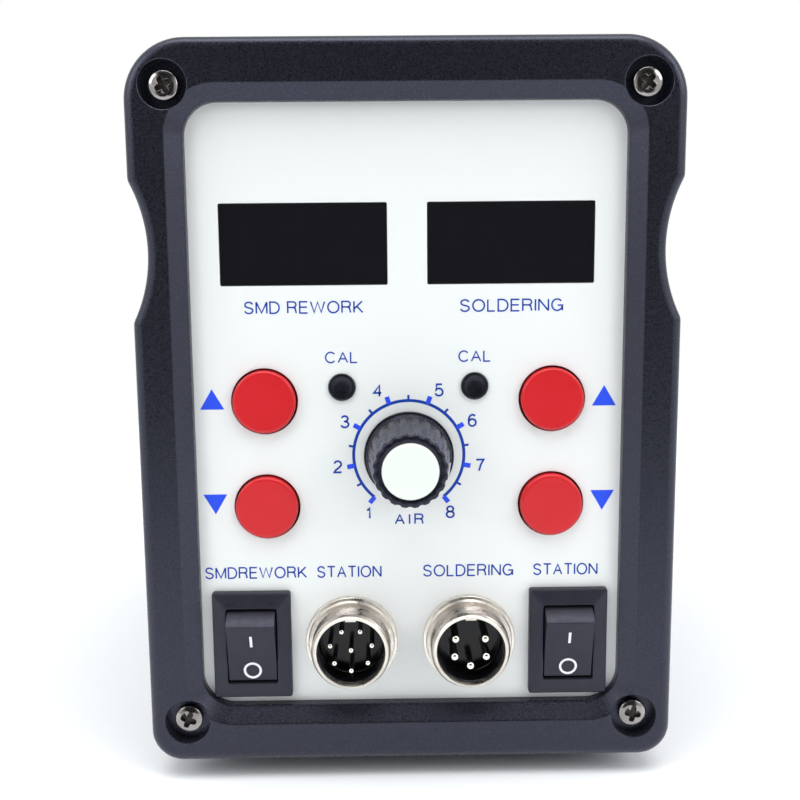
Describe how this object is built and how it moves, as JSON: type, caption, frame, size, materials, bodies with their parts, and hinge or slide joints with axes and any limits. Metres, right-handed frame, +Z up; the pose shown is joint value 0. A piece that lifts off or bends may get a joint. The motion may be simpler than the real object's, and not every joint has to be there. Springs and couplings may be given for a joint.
{
  "type": "soldering iron station",
  "caption": "Compact bench control unit for a soldering iron and a hot-air tool: framed front panel with displays, buttons, air knob, rocker switches, round sockets and mains inlet.",
  "frame": {"origin": "middle of the footprint, on the surface that the rubber feet stand on", "axes": "+Z up, the control panel faces -Y, +X is to the right of someone facing the panel"},
  "size_m": [0.1, 0.161, 0.139],
  "materials": {
    "bezel_plastic": "fine spark texture",
    "panel_white": "glossy screen-printed overlay",
    "smoked_window": "glossy",
    "display_epoxy": "matt",
    "circuit_board": "solder mask",
    "nickel_plate": "bright nickel plate",
    "zinc_steel": "zinc plated",
    "ribbon_grey": "matt",
    "switch_black": "matt",
    "button_red": "satin",
    "knob_black": "satin",
    "cap_white": "glossy",
    "pot_metal": "plated",
    "rubber_black": "matt",
    "trimmer_blue": "matt",
    "trimmer_white": "matt",
    "rocker_black": "satin",
    "insert_black": "glossy",
    "contact_metal": "silver plated",
    "case_black": "black powder coat",
    "core_steel": "varnished laminations",
    "coil_tape": "polyester tape over copper wire",
    "bare_aluminium": "extruded",
    "capacitor_sleeve": "shrink sleeve",
    "fuse_glass": "clear glass and nickel caps"
  },
  "bodies": {
    "housing": {"front_bezel": "bezel_plastic", "front_bezel_screws": "nickel_plate", "front_panel": "panel_white", "display_window_left": "smoked_window", "display_window_right": "smoked_window", "led_display_left": "display_epoxy", "led_display_right": "display_epoxy", "control_board": "circuit_board", "board_standoffs": "nickel_plate", "board_screws": "zinc_steel", "ribbon_cable": "ribbon_grey", "tact_switches": "switch_black", "pot_body": "pot_metal", "pot_nut": "nickel_plate", "cal_trimmers": "trimmer_blue", "rocker_frame_left": "rocker_black", "rocker_frame_right": "rocker_black", "rocker_terminals": "contact_metal", "hot_air_socket_shell": "nickel_plate", "hot_air_socket_insert": "insert_black", "hot_air_socket_pins": "contact_metal", "hot_air_socket_nut": "nickel_plate", "iron_socket_shell": "nickel_plate", "iron_socket_insert": "insert_black", "iron_socket_pins": "contact_metal", "iron_socket_nut": "nickel_plate", "case_cover": "case_black", "case_base": "case_black", "rear_bezel": "bezel_plastic", "rear_bezel_screws": "nickel_plate", "rear_panel": "case_black", "rubber_feet": "rubber_black", "foot_screws": "zinc_steel", "transformer_core": "core_steel", "transformer_coil": "coil_tape", "transformer_strap": "zinc_steel", "transformer_screws": "zinc_steel", "power_board": "circuit_board", "power_board_pillars": "nickel_plate", "heatsink": "bare_aluminium", "triac": "switch_black", "capacitors": "capacitor_sleeve", "inlet_housing": "switch_black", "inlet_pins": "contact_metal", "inlet_screws": "zinc_steel"},
    "hot_air_up": {"hot_air_up_button": "button_red"},
    "hot_air_down": {"hot_air_down_button": "button_red"},
    "iron_up": {"iron_up_button": "button_red"},
    "iron_down": {"iron_down_button": "button_red"},
    "air_dial": {"air_knob": "knob_black", "knob_cap": "cap_white", "pot_shaft": "pot_metal"},
    "plug_left": {"cal_plug_left": "rubber_black"},
    "plug_right": {"cal_plug_right": "rubber_black"},
    "rotor_left": {"cal_rotor_left": "trimmer_white"},
    "rotor_right": {"cal_rotor_right": "trimmer_white"},
    "rocker_left": {"rocker_paddle_left": "rocker_black"},
    "rocker_right": {"rocker_paddle_right": "rocker_black"},
    "fuse_tray": {"fuse_drawer": "switch_black", "fuse": "fuse_glass"}
  },
  "joints": [
    {"name": "hot_air_up_press", "type": "slide", "parent": "housing", "child": "hot_air_up", "axis": [0, 1, 0], "range_m": [0, 0.0004], "stiffness_N_per_m": 600},
    {"name": "hot_air_down_press", "type": "slide", "parent": "housing", "child": "hot_air_down", "axis": [0, 1, 0], "range_m": [0, 0.0004], "stiffness_N_per_m": 600},
    {"name": "iron_up_press", "type": "slide", "parent": "housing", "child": "iron_up", "axis": [0, 1, 0], "range_m": [0, 0.0004], "stiffness_N_per_m": 600},
    {"name": "iron_down_press", "type": "slide", "parent": "housing", "child": "iron_down", "axis": [0, 1, 0], "range_m": [0, 0.0004], "stiffness_N_per_m": 600},
    {"name": "air_turn", "type": "hinge", "parent": "housing", "child": "air_dial", "pos_m": [0, -0.0735, 0.0632], "axis": [0, 1, 0], "range_deg": [-241, 41]},
    {"name": "rocker_left_tilt", "type": "hinge", "parent": "housing", "child": "rocker_left", "pos_m": [-0.0304, -0.0645, 0.02645], "axis": [-1, 0, 0], "range_deg": [0, 30]},
    {"name": "rocker_right_tilt", "type": "hinge", "parent": "housing", "child": "rocker_right", "pos_m": [0.0304, -0.0645, 0.02645], "axis": [-1, 0, 0], "range_deg": [0, 30]},
    {"name": "plug_left_pull", "type": "slide", "parent": "housing", "child": "plug_left", "axis": [0, -1, 0], "range_m": [0, 0.008]},
    {"name": "plug_right_pull", "type": "slide", "parent": "housing", "child": "plug_right", "axis": [0, -1, 0], "range_m": [0, 0.008]},
    {"name": "rotor_left_turn", "type": "hinge", "parent": "housing", "child": "rotor_left", "pos_m": [-0.0124, -0.0601, 0.07625], "axis": [0, 1, 0], "range_deg": [-120, 120]},
    {"name": "rotor_right_turn", "type": "hinge", "parent": "housing", "child": "rotor_right", "pos_m": [0.0124, -0.0601, 0.07625], "axis": [0, 1, 0], "range_deg": [-120, 120]},
    {"name": "fuse_tray_pull", "type": "slide", "parent": "housing", "child": "fuse_tray", "axis": [0, 1, 0], "range_m": [0, 0.01]}
  ]
}
